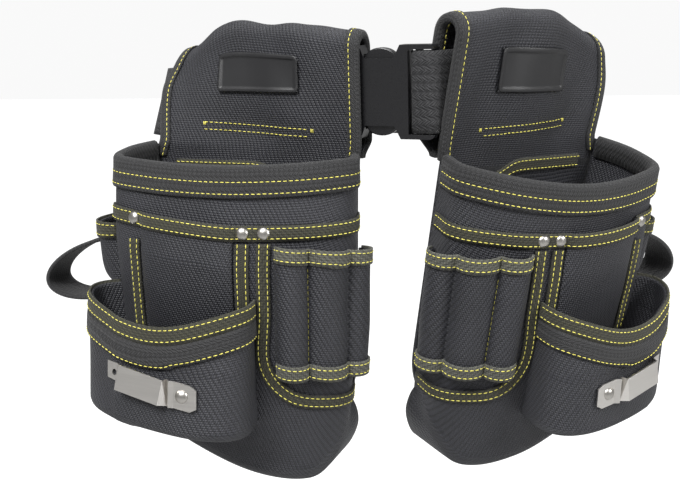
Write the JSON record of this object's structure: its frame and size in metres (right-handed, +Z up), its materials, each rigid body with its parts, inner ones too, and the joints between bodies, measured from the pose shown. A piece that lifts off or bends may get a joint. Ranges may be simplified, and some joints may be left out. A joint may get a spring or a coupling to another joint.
{
  "type": "tool belt",
  "caption": "Fastened work belt with mirror-image fabric tool pouches on webbing and a side-release buckle.",
  "frame": {"origin": "middle of the waist loop, at the height of the buckle", "axes": "+Z up as worn, the buckle and pouches to the front at -Y, +X to the right of a viewer who faces the buckle"},
  "size_m": [0.4495, 0.3087, 0.2962],
  "materials": {
    "webbing": "ribbed webbing, matt",
    "fabric": "woven ballistic nylon, matt",
    "rubber": "matt moulded rubber",
    "tape": "woven binding tape, matt",
    "light_tape": "lighter woven binding tape, matt",
    "steel": "satin nickel-plated steel",
    "plastic": "satin moulded plastic"
  },
  "bodies": {
    "root": {"belt_webbing": "webbing", "left_back_panel": "fabric", "left_inner_edge_trim": "webbing", "left_outer_edge_trim": "webbing", "left_patch": "rubber", "left_main_pouch": "fabric", "left_rim_band": "webbing", "left_inner_tape": "tape", "left_mid_pocket": "fabric", "left_mid_binding": "tape", "left_side_seam_tape": "tape", "left_front_seam_tape": "tape", "left_sweep_tape": "tape", "left_tool_sleeves": "fabric", "left_sleeve_top_binding": "light_tape", "left_sleeve_bottom_binding": "light_tape", "left_front_pocket": "fabric", "left_front_binding": "tape", "left_front_band": "webbing", "left_side_pocket": "fabric", "left_side_binding": "tape", "left_hammer_loop": "webbing", "left_tape_clip": "steel", "left_clip_rivet": "steel", "left_front_rivet": "steel", "left_sweep_rivet": "steel", "left_side_rivet": "steel", "buckle_female": "plastic", "buckle_male": "plastic", "right_back_panel": "fabric", "right_inner_edge_trim": "webbing", "right_outer_edge_trim": "webbing", "right_patch": "rubber", "right_main_pouch": "fabric", "right_rim_band": "webbing", "right_inner_tape": "tape", "right_mid_pocket": "fabric", "right_mid_binding": "tape", "right_side_seam_tape": "tape", "right_front_seam_tape": "tape", "right_sweep_tape": "tape", "right_tool_sleeves": "fabric", "right_sleeve_top_binding": "light_tape", "right_sleeve_bottom_binding": "light_tape", "right_front_pocket": "fabric", "right_front_binding": "tape", "right_front_band": "webbing", "right_side_pocket": "fabric", "right_side_binding": "tape", "right_hammer_loop": "webbing", "right_tape_clip": "steel", "right_clip_rivet": "steel", "right_front_rivet": "steel", "right_sweep_rivet": "steel", "right_side_rivet": "steel"}
  },
  "joints": []
}
